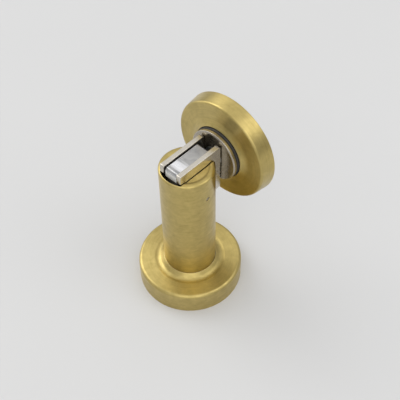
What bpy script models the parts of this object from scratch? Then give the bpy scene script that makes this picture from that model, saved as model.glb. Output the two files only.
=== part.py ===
"""Magnetic floor door holder: a slotted post on a round base, holding a keeper plate on the door.

The post stands on the floor.  A magnet head rocks on a cross pin in its top, and its two pole
plates meet the sprung keeper disc of the door unit.  Units are metres, +Z is up, +X points from
the post to the door, and the origin is the middle of the base, on the floor.
"""

import math

import bmesh
import bpy
from mathutils import Matrix, Vector

MM = 0.001

# ---------------------------------------------------------------- driving dimensions

# Fits shared by all pieces
seat_gap = 0.3 * MM            # left between two pieces that touch
loose_gap = 0.3 * MM           # round the post, where the cover slides up
running_gap = 0.1 * MM         # round the cross pin

# Post: a drawn tube with a closed, slotted top
tube_radius = 12.4 * MM
tube_wall = 0.7 * MM
tube_cap = 0.9 * MM            # thickness of the closed top
tube_rim = 1.1 * MM            # rounding between wall and top
post_height = 74.75 * MM
slot_depth = 20.85 * MM        # of the slot in the rear wall, below the top
slot_lip_depth = 0.95 * MM     # of the slot in the closed top, just through it

# Base: cover, fixing plate, stud and the plug in the foot of the tube
base_radius = 25.0 * MM
cover_sheet = 0.9 * MM
cover_edge_height = 11.5 * MM
cover_edge_round = 1.7 * MM
ring_radius = 17.1 * MM        # small step that rings the collar
ring_step = 0.45 * MM
ring_slope = 0.45 * MM         # width of that step
collar_radius = 14.9 * MM      # foot of the cone that rises to the post
collar_angle = math.radians(45)
base_plate_thickness = 2.6 * MM
stud_radius = 4.0 * MM
stud_head_radius = 6.5 * MM
stud_head_thickness = 1.2 * MM
stud_engagement = 8.0 * MM     # length of stud inside the plug
plug_length = 11.0 * MM
screw_hole_radius = 2.3 * MM
screw_head_radius = 4.3 * MM
screw_count = 3

# Magnet head, hung from the post's top
pin_radius = 1.0 * MM
pin_drop = 11.7 * MM           # the pin's axis, below the top of the post
pin_recess = 0.1 * MM          # of the pin's ends, in the tube's wall
head_rise = 4.85 * MM          # the head's top, above the top of the post
head_height = 25.1 * MM
head_front = 10.0 * MM         # the head's end ahead of the pin, away from the door
head_reach = 14.9 * MM         # pole faces, measured from the pin towards the door
head_half_width = 6.0 * MM
pole_thickness = 2.3 * MM
pole_corner = 1.3 * MM
pole_edge = 0.25 * MM          # bevel along the plates' edges
pole_shoulder = 0.45 * MM      # above the post's top, where the front edge starts to lean
rim_setback = 0.9 * MM         # of the leaning front edge, inside the post's rim
rim_drop = 0.65 * MM           # from the post's top down to that place
foot_setback = 1.65 * MM       # of the same edge at its foot
lean_height = 4.3 * MM         # from the rim down to that foot
magnet_front = 9.65 * MM
magnet_rear = 10.8 * MM
magnet_sink = 0.9 * MM         # the magnet's top, below the top of the poles
magnet_height = 5.7 * MM
magnet_chamfer = 1.1 * MM      # across the magnet's two ends
magnet_edge = 0.2 * MM         # along its sides
carrier_front = 7.8 * MM
carrier_rear = 13.0 * MM
carrier_foot = 0.5 * MM        # the carrier ends this far above the poles
rivet_radius = 1.3 * MM
rivet_front = 5.3 * MM
rivet_rear = 6.4 * MM
spacer_wall = 1.2 * MM

# Door unit, measured along +X from the post's axis
door_drop = 4.15 * MM          # the keeper's axis, below the top of the post
door_sideways = -1.2 * MM      # where the unit hangs on the magnet, to the right of the head
keeper_radius = 12.6 * MM
keeper_thickness = 1.8 * MM
keeper_bevel = 0.55 * MM       # width of the bevel round the keeper's face
keeper_edge = 0.35 * MM        # and its depth
keeper_travel = 1.6 * MM
holder_radius = 12.7 * MM
holder_thickness = 3.2 * MM
spring_wire = 0.32 * MM        # radius of the wire
spring_radius = 5.6 * MM
spring_turns = 2
spring_pocket = 2.5 * MM       # depth of the seat for the spring in the holder
bolt_radius = 2.5 * MM
bolt_head_radius = 4.6 * MM
bolt_head_depth = 1.4 * MM
nut_thickness = 1.3 * MM
nut_width = 8.0 * MM           # across the flats
nut_edge = 0.15 * MM
mouth_gap = 0.3 * MM           # between the holder and the door cover's mouth
mouth_rise = 1.2 * MM          # of the cone that rings the mouth, in front of the flat
mouth_angle = math.radians(30)
door_cover_front = 19.5 * MM
door_cover_depth = 7.4 * MM
door_cover_sheet = 0.8 * MM
door_cover_radius = 25.45 * MM
door_cover_taper = 0.9 * MM    # the front is this much smaller
door_cover_round = 1.5 * MM
door_plate_sheet = 1.0 * MM
hat_radius = 10.0 * MM         # raised middle of the door plate

# Roundings
edge_round = 0.3 * MM          # broken edges of turned and pressed pieces
soft_round = 0.6 * MM          # softer corners
broad_round = 1.2 * MM         # corners that are clearly round
heel_round = 2.5 * MM          # lower corners of the head
over = 2.0 * MM                # how far a cutter reaches past what it cuts

# Fineness of the faceted surfaces
large_steps = 48
middle_steps = 36
small_steps = 16
slot_end_steps = 10
arc_step = math.radians(45)

# ---------------------------------------------------------------- sizes that follow

tube_bore = tube_radius - tube_wall
past_tube = tube_radius + over
tube_foot = base_plate_thickness + seat_gap
cover_hole = tube_radius + loose_gap
ring_floor = cover_edge_height - ring_step
base_plate_radius = base_radius - cover_sheet - seat_gap
screw_circle = (base_plate_radius + tube_radius) / 2
plug_radius = tube_bore - seat_gap
plug_foot = tube_foot
stud_top = plug_foot + stud_engagement
slot_floor = post_height - slot_depth
slot_lip = post_height - slot_lip_depth
slot_half_width = head_half_width + seat_gap
pin_height = post_height - pin_drop
head_top = post_height + head_rise
head_bottom = head_top - head_height
pole_inner = head_half_width - pole_thickness
block_half_width = pole_inner - seat_gap
magnet_top = head_top - magnet_sink
magnet_bottom = magnet_top - magnet_height
carrier_top = magnet_bottom - seat_gap
pin_hole = pin_radius + running_gap
rivet_hole = rivet_radius + seat_gap

keeper_front = head_reach + seat_gap
keeper_back = keeper_front + keeper_thickness
holder_front = keeper_back + seat_gap
holder_back = holder_front + holder_thickness
spring_seat = holder_front + holder_thickness - spring_pocket
hat_front = holder_back + keeper_travel + seat_gap
hat_back = hat_front + door_plate_sheet
nut_front = hat_back + seat_gap
nut_back = nut_front + nut_thickness
door_face = door_cover_front + door_cover_depth
door_plate_front = door_face - door_plate_sheet
bolt_hole = bolt_radius + seat_gap
spring_slack = spring_wire + 2 * seat_gap
mouth_radius = holder_radius + mouth_gap
door_height = post_height - door_drop
door_axis = Vector((0, door_sideways, door_height))

UP = Matrix.Identity(4)
ALONG_X = Matrix.Rotation(math.pi / 2, 4, "Y")      # turns local +Z to +X
ALONG_Y = Matrix.Rotation(-math.pi / 2, 4, "X")     # turns local +Z to +Y
STANDING = Matrix.Rotation(math.pi / 2, 4, "X")     # stands a flat outline up in the XZ plane

# ---------------------------------------------------------------- collections and materials


def clear_scene():
    for thing in list(bpy.data.objects):
        bpy.data.objects.remove(thing, do_unlink=True)


def new_collection(name):
    collection = bpy.data.collections.new(name)
    bpy.context.scene.collection.children.link(collection)
    return collection


def new_material(name, colour, roughness, metallic):
    material = bpy.data.materials.new(name)
    material.use_nodes = True
    shader = material.node_tree.nodes["Principled BSDF"]
    shader.inputs["Base Color"].default_value = (*colour, 1.0)
    shader.inputs["Roughness"].default_value = roughness
    shader.inputs["Metallic"].default_value = metallic
    material.diffuse_color = (*colour, 1.0)
    return material


clear_scene()
parts = new_collection("floor_door_holder")
cutters = new_collection("cutters")

satin_brass = new_material("satin_brass", (0.50, 0.38, 0.13), 0.38, 1.0)
bright_nickel = new_material("bright_nickel", (0.72, 0.70, 0.66), 0.15, 1.0)
magnet_nickel = new_material("magnet_nickel", (0.55, 0.55, 0.56), 0.25, 1.0)
zinc_steel = new_material("zinc_steel", (0.50, 0.51, 0.53), 0.40, 1.0)
spring_steel = new_material("spring_steel", (0.42, 0.43, 0.45), 0.30, 1.0)
black_rubber = new_material("black_rubber", (0.02, 0.02, 0.02), 0.65, 0.0)
black_nylon = new_material("black_nylon", (0.03, 0.03, 0.035), 0.45, 0.0)

# ---------------------------------------------------------------- helpers


def rounded(corners, closed=False):
    """Points of a path whose corners (across, along, radius) are replaced by arcs."""
    points = []
    count = len(corners)
    for index, (across, along, radius) in enumerate(corners):
        here = Vector((across, along))
        is_end = not closed and index in (0, count - 1)
        if radius <= 0 or is_end:
            points.append(here)
            continue
        before = Vector(corners[index - 1][:2]) - here
        after = Vector(corners[(index + 1) % count][:2]) - here
        inside = before.angle(after)
        run = min(radius / math.tan(inside / 2), 0.48 * before.length, 0.48 * after.length)
        fillet = run * math.tan(inside / 2)
        start = here + before.normalized() * run
        middle = here + (before.normalized() + after.normalized()).normalized() * (
            fillet / math.sin(inside / 2))
        turn = math.pi - inside
        if before.cross(after) > 0:
            turn = -turn
        steps = max(1, math.ceil(abs(turn) / arc_step))
        for step in range(steps + 1):
            spoke = start - middle
            spoke.rotate(Matrix.Rotation(turn * step / steps, 2))
            points.append(middle + spoke)
    return points


def finish(piece, material, smooth_angle=math.radians(35)):
    piece.data.materials.clear()
    piece.data.materials.append(material)
    piece.data.shade_smooth()
    piece.data.set_sharp_from_angle(angle=smooth_angle)
    return piece


def place(name, mesh, collection, turn=UP, at=(0, 0, 0)):
    piece = bpy.data.objects.new(name, mesh)
    collection.objects.link(piece)
    piece.matrix_world = Matrix.Translation(at) @ turn
    return piece


def turned(name, corners, material, steps=large_steps, closed=True, sheet=0.0,
           turn=UP, at=(0, 0, 0), collection=None):
    """A profile in (radius, height) swept once round local Z.

    A closed profile is a solid ring.  An open one either starts and ends on the axis, or is a
    shell that Solidify thickens inwards by sheet.
    """
    outline = rounded(corners, closed)
    edges = [(i, i + 1) for i in range(len(outline) - 1)]
    if closed:
        edges.append((len(outline) - 1, 0))
    mesh = bpy.data.meshes.new(name)
    mesh.from_pydata([(p.x, 0, p.y) for p in outline], edges, [])
    piece = place(name, mesh, collection or parts, turn, at)
    screw = piece.modifiers.new("Turn", "SCREW")
    screw.steps = steps
    screw.render_steps = steps
    screw.use_merge_vertices = True
    screw.merge_threshold = 0.01 * MM
    if sheet:
        shell = piece.modifiers.new("Sheet", "SOLIDIFY")
        shell.thickness = sheet
        shell.offset = -1
        shell.use_even_offset = True
    return bake(piece, material)


def bake(piece, material):
    """Swap the object's mesh for its evaluated one, so that it can be shaded and cut."""
    graph = bpy.context.evaluated_depsgraph_get()
    mesh = bpy.data.meshes.new_from_object(piece.evaluated_get(graph))
    if piece.type == "CURVE":
        name = piece.name
        matrix = piece.matrix_world.copy()
        collection = piece.users_collection[0]
        bpy.data.objects.remove(piece, do_unlink=True)
        piece = place(name, mesh, collection, matrix)
    else:
        piece.modifiers.clear()
        piece.data = mesh
    weld(piece.data)
    return finish(piece, material)


def weld(mesh, distance=0.001 * MM):
    work = bmesh.new()
    work.from_mesh(mesh)
    bmesh.ops.remove_doubles(work, verts=work.verts, dist=distance)
    work.to_mesh(mesh)
    work.free()


def closed_spline(curve, points):
    spline = curve.splines.new("POLY")
    spline.points.add(len(points) - 1)
    for target, point in zip(spline.points, points):
        target.co = (point[0], point[1], 0, 1)
    spline.use_cyclic_u = True


def circle_points(centre, radius, steps):
    turns = [2 * math.pi * i / steps for i in range(steps)]
    return [(centre[0] + radius * math.cos(a), centre[1] + radius * math.sin(a)) for a in turns]


def flat_plate(name, corners, holes, half_thickness, material, edge=0.0, middle=0.0,
               turn=STANDING, collection=None):
    """A flat outline with round holes, extruded both ways from its middle plane.

    Stood up, the outline's two directions are world X and Z, and middle is its place along Y.
    """
    curve = bpy.data.curves.new(name, "CURVE")
    curve.dimensions = "2D"
    curve.fill_mode = "BOTH"
    curve.extrude = half_thickness - edge
    curve.bevel_depth = edge
    curve.bevel_resolution = 0
    curve.offset = -edge
    closed_spline(curve, rounded(corners, closed=True))
    for centre, radius in holes:
        closed_spline(curve, circle_points(centre, radius, small_steps))
    piece = bpy.data.objects.new(name, curve)
    (collection or parts).objects.link(piece)
    piece.matrix_world = Matrix.Translation((0, middle, 0)) @ turn
    bpy.context.view_layer.update()
    return bake(piece, material)


def cut(piece, cutter, material):
    """Take one cutter out of a piece, and shade the result again."""
    cutter.hide_render = True
    cutter.display_type = "WIRE"
    boolean = piece.modifiers.new("Cut", "BOOLEAN")
    boolean.operation = "DIFFERENCE"
    boolean.solver = "EXACT"
    boolean.object = cutter
    bpy.context.view_layer.update()
    return bake(piece, material)


def pivot(name, at):
    """An empty on a joint's axis, which carries the pieces that move with it."""
    empty = bpy.data.objects.new(name, None)
    empty.empty_display_size = 5 * MM
    empty.location = at
    parts.objects.link(empty)
    return empty


def carry(empty, pieces):
    bpy.context.view_layer.update()
    for piece in pieces:
        matrix = piece.matrix_world.copy()
        piece.parent = empty
        piece.matrix_parent_inverse = empty.matrix_world.inverted()
        piece.matrix_world = matrix


# ---------------------------------------------------------------- base and post


def screw_hole_cutters(name, radius, plate_top, plate_depth, turn=UP, at=(0, 0, 0)):
    """Three screw holes with a countersink, on one circle, standing along the turned axis."""
    sink = min(screw_head_radius - screw_hole_radius, 0.75 * plate_depth)
    profile = [
        (0, plate_top + over, 0),
        (screw_hole_radius + sink, plate_top + over, 0),
        (screw_hole_radius + sink, plate_top, 0),
        (screw_hole_radius, plate_top - sink, 0),
        (screw_hole_radius, plate_top - plate_depth - over, 0),
        (0, plate_top - plate_depth - over, 0),
    ]
    holes = []
    for index in range(screw_count):
        angle = math.pi / 2 + 2 * math.pi * index / screw_count
        offset = Vector((radius * math.cos(angle), radius * math.sin(angle), 0))
        holes.append(turned(f"{name}_{index}", profile, zinc_steel, small_steps,
                            closed=False, turn=turn, at=Vector(at) + turn.to_3x3() @ offset,
                            collection=cutters))
    return holes


def bored(cover, name, radius, low, high, turn=UP, at=(0, 0, 0)):
    """A sheet cover whose middle is bored straight through, so that its edge stands upright."""
    bore = turned(name, [
        (0, high, 0), (radius, high, 0), (radius, low, 0), (0, low, 0),
    ], satin_brass, large_steps, closed=False, turn=turn, at=at, collection=cutters)
    return cut(cover, bore, satin_brass)


def make_base_cover():
    """The drawn flange: rim, flat, stepped ring and the cone that rises to the post."""
    inside = cover_hole - cover_sheet
    collar_top = ring_floor + (collar_radius - inside) * math.tan(collar_angle)
    cover = turned("base_cover", [
        (inside, collar_top, 0),
        (collar_radius, ring_floor, soft_round),
        (ring_radius - ring_slope, ring_floor, edge_round),
        (ring_radius, cover_edge_height, edge_round),
        (base_radius, cover_edge_height, cover_edge_round),
        (base_radius, 0, 0),
    ], satin_brass, closed=False, sheet=cover_sheet)
    return bored(cover, "cover_bore", cover_hole, 0, collar_top + over)


def make_base_plate():
    """The fixing plate that the floor screws hold, with a pocket below for the stud's head."""
    pocket = stud_head_thickness + seat_gap
    plate = turned("base_plate", [
        (stud_radius + seat_gap, base_plate_thickness, 0),
        (base_plate_radius, base_plate_thickness, soft_round),
        (base_plate_radius, 0, 0),
        (stud_head_radius + seat_gap, 0, 0),
        (stud_head_radius + seat_gap, pocket, 0),
        (stud_radius + seat_gap, pocket, 0),
    ], zinc_steel, middle_steps)
    for hole in screw_hole_cutters("plate_hole", screw_circle, base_plate_thickness,
                                   base_plate_thickness):
        plate = cut(plate, hole, zinc_steel)
    return plate


def make_base_stud():
    return turned("base_stud", [
        (0, stud_top, 0),
        (stud_radius, stud_top, soft_round),
        (stud_radius, stud_head_thickness, 0),
        (stud_head_radius, stud_head_thickness, edge_round),
        (stud_head_radius, 0, 0),
        (0, 0, 0),
    ], zinc_steel, middle_steps // 2, closed=False)


def make_post_plug():
    """The threaded plug pressed into the foot of the tube."""
    return turned("post_plug", [
        (stud_radius + seat_gap, plug_foot + plug_length, 0),
        (plug_radius, plug_foot + plug_length, soft_round),
        (plug_radius, plug_foot, soft_round),
        (stud_radius + seat_gap, plug_foot, 0),
    ], zinc_steel, middle_steps)


def slot_cutters():
    """The slot in two parts: across the closed top as far as the front wall, and down the rear."""
    above = post_height + over
    middle = tube_bore / 2
    sweep = math.asin(slot_half_width / tube_bore)
    turns = [math.pi + sweep * (2 * i / slot_end_steps - 1) for i in range(slot_end_steps + 1)]
    front_end = [(tube_bore * math.cos(a), tube_bore * math.sin(a), 0) for a in turns]
    across = flat_plate("slot_across", [
        *front_end, (middle, -slot_half_width, 0), (middle, slot_half_width, 0),
    ], [], (above - slot_lip) / 2, satin_brass, collection=cutters,
        turn=Matrix.Translation((0, 0, (above + slot_lip) / 2)))
    down = flat_plate("slot_down", [
        (0, slot_lip, 0),
        (middle, slot_lip, 0),
        (middle, slot_floor, 0),
        (past_tube, slot_floor, 0),
        (past_tube, above, 0),
        (0, above, 0),
    ], [], slot_half_width, satin_brass, collection=cutters)
    return across, down


def make_post_tube():
    """The drawn tube, cut by the head's slot and drilled for the cross pin."""
    tube = turned("post_tube", [
        (0, post_height, 0),
        (tube_radius, post_height, tube_rim),
        (tube_radius, tube_foot, 0),
        (tube_bore, tube_foot, 0),
        (tube_bore, post_height - tube_cap, tube_rim - tube_wall),
        (0, post_height - tube_cap, 0),
    ], satin_brass, large_steps, closed=False)
    for slot in slot_cutters():
        tube = cut(tube, slot, satin_brass)
    drill = turned("pin_drill", [
        (0, past_tube, 0), (pin_hole, past_tube, 0), (pin_hole, -past_tube, 0), (0, -past_tube, 0),
    ], satin_brass, small_steps, closed=False, turn=ALONG_Y, at=(0, 0, pin_height),
        collection=cutters)
    return cut(tube, drill, satin_brass)


# ---------------------------------------------------------------- magnet head


def make_head_pin():
    end = tube_radius - pin_recess
    return turned("head_pin", [
        (0, end, 0), (pin_radius, end, edge_round), (pin_radius, -end, edge_round), (0, -end, 0),
    ], spring_steel, small_steps, closed=False, turn=ALONG_Y, at=(0, 0, pin_height))


def make_pin_spacer(name, side):
    """A sleeve on the pin, one of the two that keep the head in the middle of the slot."""
    inner = pin_hole
    outer = inner + spacer_wall
    near = head_half_width + seat_gap
    far = math.sqrt(tube_bore ** 2 - outer ** 2) - seat_gap
    low, high = sorted((side * near, side * far))
    return turned(name, [
        (inner, high, 0), (outer, high, 0), (outer, low, 0), (inner, low, 0),
    ], zinc_steel, small_steps, turn=ALONG_Y, at=(0, 0, pin_height))


def rivet_places():
    """Where the two rivets cross the head, low enough to stay inside the tube."""
    middle = (head_bottom + carrier_top) / 2
    return [(-rivet_front, middle), (rivet_rear, middle)]


def head_holes():
    holes = [((0, pin_height), pin_hole)]
    holes.extend((spot, rivet_hole) for spot in rivet_places())
    return holes


def make_pole_plate(name, side):
    """One steel cheek.  Below the post's rim its front leans back, to clear the tube as it rocks."""
    shoulder = post_height + pole_shoulder
    rim = post_height - rim_drop
    return flat_plate(name, [
        (-head_front, head_top, pole_corner),
        (-head_front, shoulder, 0),
        (rim_setback - head_front, rim, 0),
        (foot_setback - head_front, rim - lean_height, broad_round),
        (foot_setback - head_front, head_bottom, heel_round),
        (head_reach, head_bottom, soft_round),
        (head_reach, head_top, pole_corner),
    ], head_holes(), pole_thickness / 2, bright_nickel, edge=pole_edge,
        middle=side * (head_half_width - pole_thickness / 2))


def make_head_magnet():
    """The magnet, a block whose two ends are chamfered above and below."""
    low = magnet_bottom + magnet_chamfer
    high = magnet_top - magnet_chamfer
    return flat_plate("head_magnet", [
        (-magnet_front, high, 0),
        (-magnet_front, low, 0),
        (magnet_chamfer - magnet_front, magnet_bottom, 0),
        (magnet_rear - magnet_chamfer, magnet_bottom, 0),
        (magnet_rear, low, 0),
        (magnet_rear, high, 0),
        (magnet_rear - magnet_chamfer, magnet_top, 0),
        (magnet_chamfer - magnet_front, magnet_top, 0),
    ], [], block_half_width, magnet_nickel, edge=magnet_edge)


def make_head_carrier():
    """The moulded block that fills the head below the magnet and turns on the pin."""
    foot = head_bottom + carrier_foot
    return flat_plate("head_carrier", [
        (-carrier_front, carrier_top, soft_round),
        (-carrier_front, foot, heel_round),
        (carrier_rear, foot, broad_round),
        (carrier_rear, carrier_top, soft_round),
    ], head_holes(), block_half_width, black_nylon)


def make_head_rivet(name, spot):
    along, height = spot
    return turned(name, [
        (0, head_half_width, 0), (rivet_radius, head_half_width, edge_round),
        (rivet_radius, -head_half_width, edge_round), (0, -head_half_width, 0),
    ], zinc_steel, small_steps, closed=False, turn=ALONG_Y, at=(along, 0, height))


# ---------------------------------------------------------------- door unit


def make_keeper_disc():
    """The steel face that the poles hold, countersunk for its bolt."""
    bolt_sink = bolt_head_radius + seat_gap
    return turned("keeper_disc", [
        (bolt_hole, keeper_back, 0),
        (keeper_radius, keeper_back, edge_round),
        (keeper_radius, keeper_front + keeper_edge, 0),
        (keeper_radius - keeper_bevel, keeper_front, 0),
        (bolt_sink, keeper_front, 0),
        (bolt_hole, keeper_front + bolt_head_depth, 0),
    ], bright_nickel, turn=ALONG_X, at=door_axis)


def make_keeper_bolt():
    return turned("keeper_bolt", [
        (0, nut_back, 0),
        (bolt_radius, nut_back, edge_round),
        (bolt_radius, keeper_front + bolt_head_depth, 0),
        (bolt_head_radius, keeper_front, 0),
        (0, keeper_front, 0),
    ], zinc_steel, middle_steps, closed=False, turn=ALONG_X, at=door_axis)


def make_keeper_holder():
    """The black buffer behind the keeper, with a pocket at the back for the spring."""
    pocket_out = spring_radius + spring_slack
    pocket_in = spring_radius - spring_slack
    return turned("keeper_holder", [
        (bolt_hole, holder_back, 0),
        (pocket_in, holder_back, 0),
        (pocket_in, spring_seat, 0),
        (pocket_out, spring_seat, 0),
        (pocket_out, holder_back, 0),
        (holder_radius, holder_back, soft_round),
        (holder_radius, holder_front, soft_round),
        (bolt_hole, holder_front, 0),
    ], black_rubber, turn=ALONG_X, at=door_axis)


def make_keeper_spring():
    """A compression spring between the holder's pocket and the door plate."""
    points_per_turn = 16
    start = spring_seat + spring_wire + seat_gap
    end = hat_front - spring_wire - seat_gap
    count = spring_turns * points_per_turn + 1
    curve = bpy.data.curves.new("keeper_spring", "CURVE")
    curve.dimensions = "3D"
    curve.bevel_depth = spring_wire
    curve.bevel_resolution = 2
    curve.use_fill_caps = True
    spline = curve.splines.new("POLY")
    spline.points.add(count - 1)
    for index, target in enumerate(spline.points):
        angle = 2 * math.pi * index / points_per_turn
        height = start + (end - start) * index / (count - 1)
        target.co = (spring_radius * math.cos(angle), spring_radius * math.sin(angle), height, 1)
    least_gap = (end - start) / spring_turns - 2 * spring_wire
    print(f"keeper_spring: {least_gap / MM:.2f} mm between turns")
    piece = bpy.data.objects.new("keeper_spring", curve)
    parts.objects.link(piece)
    piece.matrix_world = Matrix.Translation(door_axis) @ ALONG_X
    bpy.context.view_layer.update()
    return bake(piece, spring_steel)


def make_keeper_nut():
    """A thin hexagon nut behind the door plate, which sets how far the keeper stands out."""
    corner = nut_width / 2 / math.cos(math.pi / 6)
    hexagon = [(*point, 0) for point in circle_points((0, 0), corner, 6)]
    nut = flat_plate("keeper_nut", hexagon, [((0, 0), bolt_hole)], nut_thickness / 2,
                     zinc_steel, edge=nut_edge, turn=ALONG_X)
    middle = (nut_front + nut_back) / 2
    nut.matrix_world = Matrix.Translation(door_axis + Vector((middle, 0, 0))) @ ALONG_X
    return nut


def make_door_cover():
    """The drawn cup: a wall that widens, a flat face and the cone that rings the mouth."""
    front_radius = door_cover_radius - door_cover_taper
    slope = math.tan(mouth_angle)
    inside = mouth_radius - door_cover_sheet
    cone_foot = mouth_radius + mouth_rise / slope
    cone_top = door_cover_front - (cone_foot - inside) * slope
    wall_lean = math.atan2(door_cover_taper, door_cover_depth)
    wall_end = door_face - door_cover_sheet * math.sin(wall_lean)
    cover = turned("door_cover", [
        (door_cover_radius, wall_end, 0),
        (front_radius, door_cover_front, door_cover_round),
        (cone_foot, door_cover_front, soft_round),
        (inside, cone_top, 0),
    ], satin_brass, closed=False, sheet=door_cover_sheet, turn=ALONG_X, at=door_axis)
    return bored(cover, "mouth_bore", mouth_radius, cone_top - over, door_face,
                 turn=ALONG_X, at=door_axis)


def cover_bore_at(distance):
    """Inner radius of the door cover, at a distance along +X."""
    share = (distance - door_cover_front) / door_cover_depth
    return door_cover_radius - door_cover_sheet - door_cover_taper * (1 - share)


def make_door_plate():
    """The pressed plate that screws to the door, with a raised middle that guides the bolt."""
    plate_radius = cover_bore_at(door_plate_front) - seat_gap
    plate = turned("door_plate", [
        (plate_radius, door_plate_front, 0),
        (hat_radius, door_plate_front, soft_round),
        (hat_radius, hat_front, broad_round),
        (bolt_hole, hat_front, 0),
    ], zinc_steel, middle_steps, closed=False, sheet=door_plate_sheet, turn=ALONG_X, at=door_axis)
    circle = (plate_radius + hat_radius + door_plate_sheet) / 2
    facing_room = ALONG_X @ Matrix.Rotation(math.pi, 4, "X")
    for hole in screw_hole_cutters("door_hole", circle, -door_plate_front, door_plate_sheet,
                                   turn=facing_room, at=door_axis):
        plate = cut(plate, hole, zinc_steel)
    return plate


# ---------------------------------------------------------------- assembly


def main():
    cover = make_base_cover()
    make_base_plate()
    make_base_stud()
    make_post_plug()
    make_post_tube()
    make_head_pin()
    make_pin_spacer("pin_spacer_left", 1)
    make_pin_spacer("pin_spacer_right", -1)

    front_rivet, rear_rivet = rivet_places()
    head = [
        make_pole_plate("pole_plate_left", 1),
        make_pole_plate("pole_plate_right", -1),
        make_head_magnet(),
        make_head_carrier(),
        make_head_rivet("head_rivet_front", front_rivet),
        make_head_rivet("head_rivet_rear", rear_rivet),
    ]
    keeper = [
        make_keeper_disc(),
        make_keeper_bolt(),
        make_keeper_holder(),
        make_keeper_nut(),
    ]
    door = [make_door_cover(), make_door_plate(), make_keeper_spring()]

    carry(pivot("cover_lift", (0, 0, 0)), [cover])
    carry(pivot("head_rock", (0, 0, pin_height)), head)
    door_release = pivot("door_release", door_axis)
    keeper_cushion = pivot("keeper_cushion", door_axis)
    carry(door_release, [keeper_cushion, *door])
    carry(keeper_cushion, keeper)


main()
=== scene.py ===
# %% [markdown]
# # A magnetic floor door holder in satin brass
#
# The real holder has two halves. A slotted post on a round flange is screwed to the floor, and a
# round cup is screwed to the door. A magnet head of two nickel-plated plates rocks in the top of
# the post and pulls on a sprung steel disc in the middle of the cup.
#
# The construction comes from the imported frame, which this script loads first. Everything below
# adds the finer surfaces and the finishes around it, and never moves a piece of the frame.

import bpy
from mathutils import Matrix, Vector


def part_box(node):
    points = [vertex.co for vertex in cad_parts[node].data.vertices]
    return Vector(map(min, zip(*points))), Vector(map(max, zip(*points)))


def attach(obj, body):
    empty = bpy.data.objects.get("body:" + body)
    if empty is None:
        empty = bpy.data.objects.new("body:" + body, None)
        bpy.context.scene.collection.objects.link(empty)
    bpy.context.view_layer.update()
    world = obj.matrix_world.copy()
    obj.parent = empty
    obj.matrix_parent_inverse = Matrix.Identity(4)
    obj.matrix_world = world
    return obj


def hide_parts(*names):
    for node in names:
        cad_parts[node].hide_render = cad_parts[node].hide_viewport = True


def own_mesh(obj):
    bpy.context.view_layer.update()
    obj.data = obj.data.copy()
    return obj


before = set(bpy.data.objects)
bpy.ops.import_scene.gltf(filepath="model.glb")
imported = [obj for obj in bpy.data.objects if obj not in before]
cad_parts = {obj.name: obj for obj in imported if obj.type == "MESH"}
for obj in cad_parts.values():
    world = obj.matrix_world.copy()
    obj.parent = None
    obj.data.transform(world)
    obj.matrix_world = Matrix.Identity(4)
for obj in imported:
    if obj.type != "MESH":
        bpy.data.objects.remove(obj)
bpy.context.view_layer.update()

# %% The other tools
import math

import bmesh
import bpy
from mathutils import Matrix, Vector

MM = 0.001
quarter_turn = math.radians(90)

# %% [markdown]
# ## Sizes read from the frame
#
# A piece goes where the frame says, so its sizes are read from the boxes of the frame's nodes.
# Only what a box can't say, such as a fillet, a step or the thickness of a sheet, is written
# down here as a real size.

# %% Sizes of the floor unit
flange_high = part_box("base_cover")[1]
post_low, post_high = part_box("post_tube")
pole_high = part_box("pole_plate_left")[1]
magnet_low, magnet_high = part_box("head_magnet")
pin_low, pin_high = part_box("head_pin")

flange_radius = flange_high.x
post_radius = post_high.x
post_top = post_high.z
post_foot = post_low.z
pin_height = (pin_low.z + pin_high.z) / 2
print(f"flange {2000 * flange_radius:.1f} mm, post {2000 * post_radius:.1f} mm across")

# %% Sizes of the door unit
cup_low, cup_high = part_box("door_cover")
disc_low, disc_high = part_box("keeper_disc")
buffer_low, buffer_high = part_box("keeper_holder")
bolt_low, bolt_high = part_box("keeper_bolt")

cup_radius = (cup_high.z - cup_low.z) / 2
cup_axis = Vector((0, (cup_low.y + cup_high.y) / 2, (cup_low.z + cup_high.z) / 2))
disc_radius = (disc_high.z - disc_low.z) / 2
buffer_radius = (buffer_high.z - buffer_low.z) / 2
print(f"cup {2000 * cup_radius:.1f} mm across, its axis {1000 * cup_axis.z:.1f} mm up")

# %% [markdown]
# ## Camera
#
# The photograph looks down at the holder from its front left, with a normal lens that stands
# close. The place and angles were found by fitting the outlines of the turned pieces, which
# leaves only a small roll of the camera.

# %% Camera
camera_place = Vector((-152.4, -157.2, 308.7)) * MM
camera_heading = math.radians(44.475)
camera_pitch = math.radians(49.50)
camera_roll = math.radians(-1.166)
camera_lens = 67.6

forward = Vector((
    math.cos(camera_heading) * math.cos(camera_pitch),
    math.sin(camera_heading) * math.cos(camera_pitch),
    -math.sin(camera_pitch),
))
level_right = forward.cross(Vector((0, 0, 1))).normalized()
level_up = level_right.cross(forward)
right = math.cos(camera_roll) * level_right + math.sin(camera_roll) * level_up
up = math.cos(camera_roll) * level_up - math.sin(camera_roll) * level_right

camera_data = bpy.data.cameras.new("photo_camera")
camera_data.lens = camera_lens
camera_data.clip_start = 0.01
camera = bpy.data.objects.new("photo_camera", camera_data)
bpy.context.scene.collection.objects.link(camera)
camera.matrix_world = Matrix.Translation(camera_place) @ Matrix(
    (right, up, -forward)).transposed().to_4x4()
bpy.context.scene.camera = camera
print("camera to the middle of the base:", round(camera_place.length, 3), "m")

# %% [markdown]
# ## Light, floor and surroundings
#
# Metal shows what is around it, so the surroundings matter as much as the lamps. The photograph
# is a plain pale table in soft daylight. The world here is a pale room that grows brighter from
# the horizon to the ceiling, with four wide soft windows in it: one low and one high on the left,
# one high on the right and one behind the camera. They put the soft bright bands on the brass.
# One broad sun lamp from the side of the windows on the left gives the faint shadow, because a
# sun lights the whole table evenly.


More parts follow.
